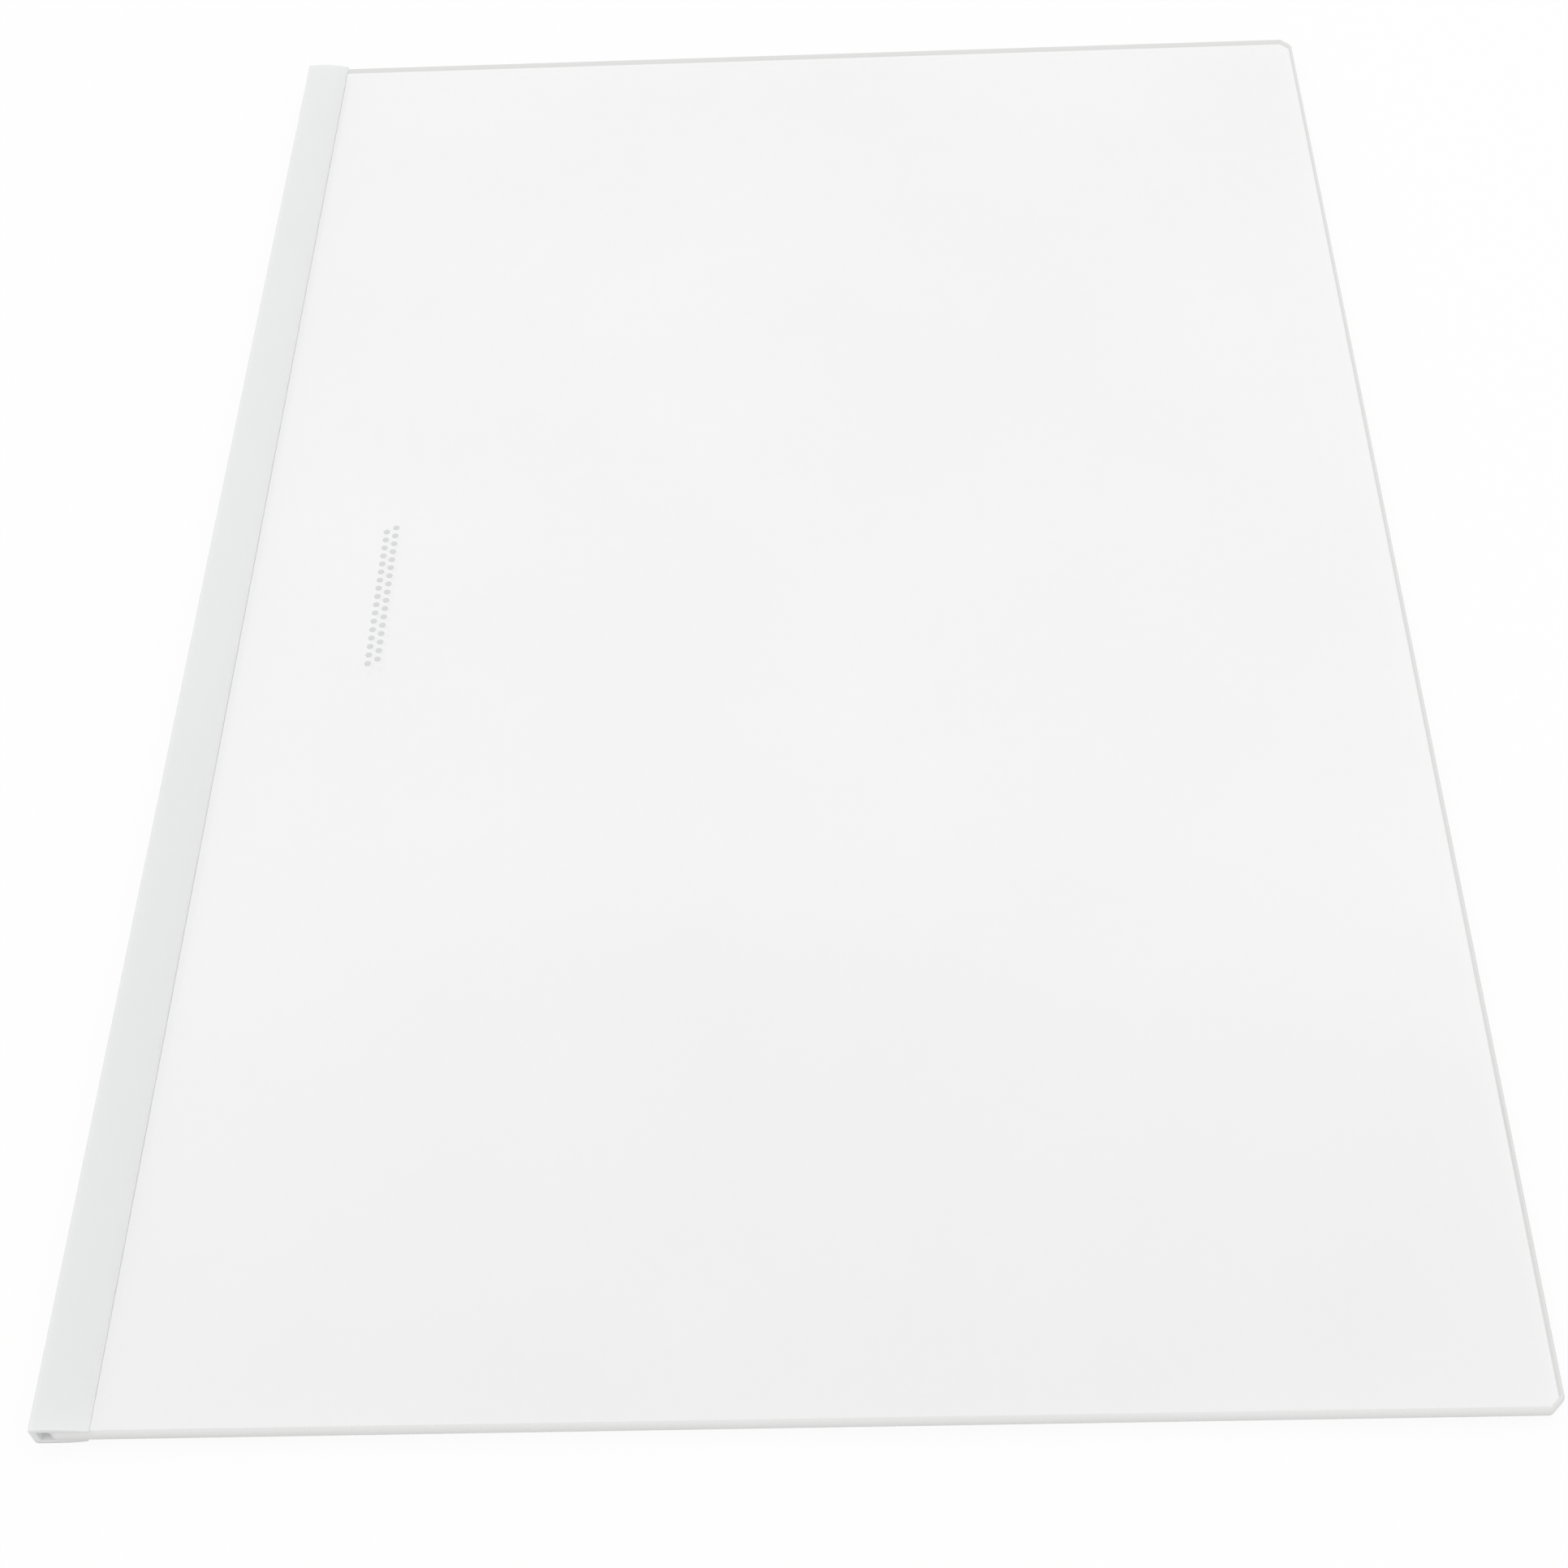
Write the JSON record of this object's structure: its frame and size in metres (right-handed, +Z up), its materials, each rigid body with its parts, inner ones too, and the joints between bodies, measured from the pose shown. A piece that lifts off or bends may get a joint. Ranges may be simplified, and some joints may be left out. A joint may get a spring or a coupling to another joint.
{
  "type": "fridge glass shelf",
  "caption": "Flat clear glass fridge shelf with ground edges and clipped corners, and a white plastic trim of C-shaped section pushed over its front edge.",
  "frame": {"origin": "middle of the shelf's box, at the level of the trim's underside", "axes": "+X along the trim, +Y from the front trim to the rear edge, +Z up"},
  "size_m": [0.475, 0.3238, 0.0071],
  "materials": {
    "clear_glass": "clear toughened float glass with polished faces and ground edges",
    "white_plastic": "smooth extruded white plastic with a satin gloss"
  },
  "bodies": {
    "root": {"glass_pane": "clear_glass", "front_trim": "white_plastic"}
  },
  "joints": []
}
